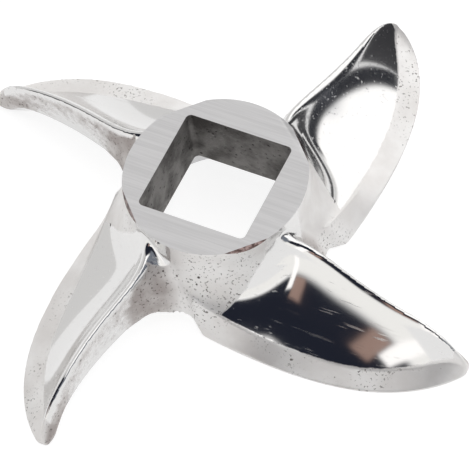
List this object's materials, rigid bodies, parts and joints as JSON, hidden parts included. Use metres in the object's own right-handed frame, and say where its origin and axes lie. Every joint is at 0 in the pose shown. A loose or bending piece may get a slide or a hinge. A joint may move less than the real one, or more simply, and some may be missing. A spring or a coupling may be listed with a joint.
{
  "type": "meat grinder knife",
  "caption": "One-piece cast stainless knife for a meat grinder: swept blades with hollowed, polished leading faces round a square-holed hub.",
  "frame": {"origin": "on the axis of turning, in the cutting plane that sweeps the hole plate", "axes": "+Z along the axis of turning, from the cutting plane towards the hub's flat top; one arm reaches out along +X and leads with its -Y side"},
  "size_m": [0.0954, 0.0954, 0.0162],
  "materials": {
    "stainless": "mirror-polished bowls, satin rims and walls with casting pits, brushed flat top, rough cast drive hole"
  },
  "bodies": {
    "root": {"knife": "stainless"}
  },
  "joints": []
}
